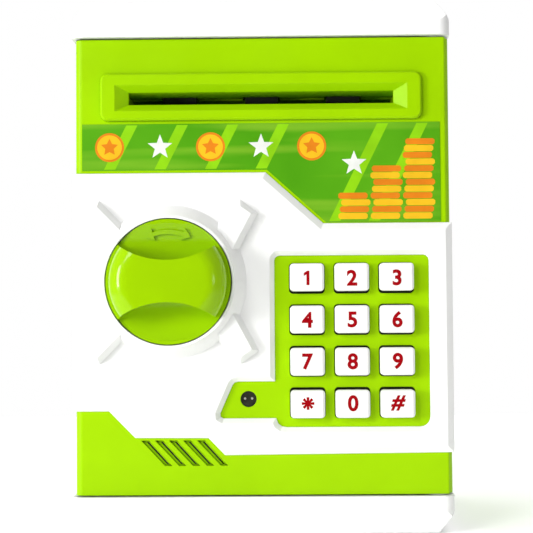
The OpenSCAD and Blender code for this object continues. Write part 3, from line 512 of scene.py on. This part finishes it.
def arrow_columns():
    """(angle, half width) along a curved arrow with a head at each end, in degrees and mm."""
    body = [(72.5 + 35 * i / 20, 0.75) for i in range(21)]
    head = [(2.25 * i, 2.1 * (1 - i / 4) + 0.04) for i in range(5)]
    return [(72.4 - a, w) for a, w in reversed(head)] + body + [(107.6 + a, w) for a, w in head]


def led_domes():
    """Clear domed tips of the two lamps behind the dark window."""
    lo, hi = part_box("led_lens")
    cx, cz = (lo.x + hi.x) / 2, (lo.z + hi.z) / 2
    for s, name in ((-1, "red"), (1, "green")):
        bm = bmesh.new()
        bmesh.ops.create_uvsphere(bm, u_segments=20, v_segments=12, radius=0.0007)
        place = Vector((cx + s * 0.00125, lo.y + 0.0005, cz + 0.0002))
        for v in bm.verts:
            v.co = Vector((v.co.x, v.co.y * 0.9, v.co.z)) + place
        mesh_object("led_dome_" + name, bm, dome_mat, "door", smooth=60)


def knob_arrow():
    """Raised arrow on the floor of the upper finger hollow, following its curve."""
    radius, height, sunk = 17.4, 0.0008, 0.0001
    lo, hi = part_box("knob")
    cx, cz = (lo.x + hi.x) / 2, (lo.z + hi.z) / 2
    knob = BVHTree.FromObject(NODES["knob"], bpy.context.evaluated_depsgraph_get())
    bm = bmesh.new()
    rows = [[bm.verts.new((cx + r * math.cos(a), 0, cz + r * math.sin(a)))
             for r in ((radius + w * k / 2) * MM for k in range(-2, 3))]
            for a, w in ((math.radians(a), w) for a, w in arrow_columns())]
    for one, two in zip(rows, rows[1:]):
        for k in range(4):
            bm.faces.new((one[k], one[k + 1], two[k + 1], two[k]))
    g = bmesh.ops.extrude_face_region(bm, geom=bm.faces[:])
    top = {v for v in g["geom"] if isinstance(v, bmesh.types.BMVert)}
    for v in bm.verts:
        hit = knob.ray_cast(Vector((v.co.x, lo.y - 0.01, v.co.z)), Vector((0, 1, 0)))[0]
        v.co.y = hit.y - (height if v in top else -sunk)
    bmesh.ops.recalc_face_normals(bm, faces=bm.faces[:])
    mesh_object("knob_arrow", bm, green_knob, "knob_body")


knob_arrow()
led_domes()

# ---------------------------------------------------------------- label graphics


def flat_art(name, mat, shapes, level):
    """Printed shapes on the label, as one thin mesh. level stacks the colours."""
    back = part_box("door_label")[0].y / MM + 0.01
    bm = bmesh.new()
    for pts in shapes:
        prism(bm, pts, back - 0.012 - 0.02 * level, back)
    bmesh.ops.recalc_face_normals(bm, faces=bm.faces[:])
    return mesh_object(name, bm, mat, "door")


def disc(cx, cz, r, n=36):
    turns = [2 * math.pi * i / n for i in range(n)]
    return [(cx + r * math.cos(a), cz + r * math.sin(a)) for a in turns]


def star(cx, cz, r, r2):
    """A five-pointed star, point up, with points at radius r and notches at r2."""
    corners = [(r2 if i % 2 else r, math.radians(90 + 36 * i)) for i in range(10)]
    return [(cx + q * math.cos(a), cz + q * math.sin(a)) for q, a in corners]


def moved(pts, dx, dz):
    return [(dx + x, dz + z) for x, z in pts]


def ink(name, col):
    """Printing ink with a slight uneven lay-down."""
    m = Mat(name, rough=0.32, spec=0.15)
    m.colour(m.ramp(m.noise(90, 3), [(0.3, tint(col, 0.82)), (0.7, col)]))
    m.rough(m.noise(300, 2), 0.28, 0.38)
    return m.m


INK = {
    "gold": ink("ink_gold", srgb(236, 186, 34)),
    "orange": ink("ink_orange", srgb(222, 128, 28)),
    "white": ink("ink_white", srgb(232, 234, 228)),
    "lime": ink("ink_lime", srgb(140, 206, 20)),
}


def band(x, foot, lean):
    """A slanting band 4 mm wide, from height foot to the label's top."""
    return [(x, foot), (x + 4, foot), (x + lean + 4, 145.2), (x + lean, 145.2)]


def label_art():
    """A plain pattern of coins, stars and stacked coins on slanting bands."""
    row, apart, first = 137.3, 18, -54
    places = [first + apart * i for i in range(5)]
    coins = [(x, row, 5.2) for x in places[::2]]
    stars = [(x, row, 4.6) for x in places[1::2]] + [(33, 131, 4.6)]
    coin = [(-5.2, -0.5), (-4.6, -1.1), (4.6, -1.1), (5.2, -0.5),
            (5.2, 0.5), (4.6, 1.1), (-4.6, 1.1), (-5.2, 0.5)]
    # three rising stacks, seen from the side, each coin a little out of line
    stacks = ((33, 4), (44.5, 8), (56, 12))
    stack = [(x + 0.5 * (k % 3 - 1), 112.2 + 2.4 * k, k) for x, n in stacks for k in range(n)]
    art = [
        ("lime", 0, [band(x, 129.4, 8) for x in (-56, -38, -20, -2)]),
        ("lime", 0, [band(x, 110.5, 17.3) for x in (24, 38)]),
        ("orange", 1, [disc(x, z, r) for x, z, r in coins]),
        ("gold", 2, [disc(x, z, r - 0.8) for x, z, r in coins]),
        ("orange", 3, [star(x, z, r - 2, r / 2 - 1) for x, z, r in coins]),
        ("white", 1, [star(x, z, r, r * 0.42) for x, z, r in stars]),
        ("gold", 1, [moved(coin, x, z) for x, z, k in stack if k % 2 == 0]),
        ("orange", 1, [moved(coin, x, z) for x, z, k in stack if k % 2]),
    ]
    for i, (colour, level, shapes) in enumerate(art):
        flat_art("art_%02d_%s" % (i, colour), INK[colour], shapes, level)


label_art()

# ---------------------------------------------------------------- studio

def area_light(name, loc, size, power):
    """A white rectangular light that faces the middle of the bank."""
    li = bpy.data.lights.new(name, "AREA")
    li.shape = "RECTANGLE"
    li.size, li.size_y = size
    li.energy = power
    o = bpy.data.objects.new(name, li)
    bpy.context.scene.collection.objects.link(o)
    o.location = loc
    o.rotation_euler = (Vector((0, 0, 0.09)) - Vector(loc)).to_track_quat("-Z", "Y").to_euler()


def studio_world(scene):
    """White surroundings, dimmer on the camera's side, and full white where the camera sees them."""
    world = bpy.data.worlds.new("studio")
    scene.world = world
    world.use_nodes = True
    nodes, links = world.node_tree.nodes, world.node_tree.links
    nodes.clear()
    out = nodes.new("ShaderNodeOutputWorld")
    lighting = nodes.new("ShaderNodeBackground")
    lighting.inputs["Color"].default_value = (1, 1, 1, 1)
    where = nodes.new("ShaderNodeTexCoord")
    axes = nodes.new("ShaderNodeSeparateXYZ")
    links.new(where.outputs["Generated"], axes.inputs[0])
    fall = nodes.new("ShaderNodeMapRange")
    fall.inputs["From Min"].default_value = -1.0
    fall.inputs["From Max"].default_value = -0.3
    fall.inputs["To Min"].default_value = 0.13
    fall.inputs["To Max"].default_value = 0.40
    links.new(axes.outputs["Y"], fall.inputs[0])
    links.new(fall.outputs[0], lighting.inputs["Strength"])
    seen = nodes.new("ShaderNodeBackground")
    seen.inputs["Color"].default_value = (1, 1, 1, 1)
    seen.inputs["Strength"].default_value = 1.0
    path = nodes.new("ShaderNodeLightPath")
    choose = nodes.new("ShaderNodeMixShader")
    links.new(path.outputs["Is Camera Ray"], choose.inputs[0])
    links.new(lighting.outputs[0], choose.inputs[1])
    links.new(seen.outputs[0], choose.inputs[2])
    links.new(choose.outputs[0], out.inputs[0])


def paper_floor(scene):
    """A pale floor with a faint glow of its own."""
    mat = moulded("floor_paper", (0.95, 0.95, 0.95, 1), rough=(0.7, 0.8), grain=700, depth=0.02, vary=0.01)
    shader = mat.node_tree.nodes["Principled BSDF"]
    shader.inputs["Emission Strength"].default_value = 0.12
    shader.inputs["Emission Color"].default_value = (1, 1, 1, 1)
    bm = bmesh.new()
    bmesh.ops.create_grid(bm, x_segments=8, y_segments=8, size=0.5)
    me = bpy.data.meshes.new("floor")
    bm.to_mesh(me)
    bm.free()
    me.materials.append(mat)
    floor = bpy.data.objects.new("floor", me)
    scene.collection.objects.link(floor)
    floor.location = (0, 0, -0.0002)


scene = bpy.context.scene
studio_world(scene)
area_light("key", (-1.15, -0.75, 0.22), (0.30, 0.45), 13.0)
area_light("front", (-0.80, -1.20, 0.75), (0.5, 0.5), 10.5)
area_light("fill", (1.0, -1.15, 0.16), (0.4, 0.2), 1.5)
area_light("top", (0, 0.35, 1.2), (1.4, 1.2), 14)

paper_floor(scene)

# ---------------------------------------------------------------- camera

def front_camera(scene):
    """Camera in front of the door and a little below its middle."""
    lens = bpy.data.cameras.new("camera")
    lens.sensor_width = 36
    lens.lens = 88.2
    lens.clip_start = 0.01
    camera = bpy.data.objects.new("camera", lens)
    scene.collection.objects.link(camera)
    eye = Vector((0.0073, -0.5084, 0.0772))
    yaw, pitch, roll = math.radians(-0.7), math.radians(2.14), math.radians(-0.4)
    level = math.cos(pitch)
    forward = Vector((math.sin(yaw) * level, math.cos(yaw) * level, math.sin(pitch)))
    flat = Vector((math.cos(yaw), -math.sin(yaw), 0))
    right = flat * math.cos(roll) + flat.cross(forward) * math.sin(roll)
    up = right.cross(forward)
    turn = Matrix((right, up, -forward)).transposed().to_4x4()
    camera.matrix_world = Matrix.Translation(eye) @ turn
    scene.camera = camera


front_camera(scene)
scene.view_settings.view_transform = "Standard"
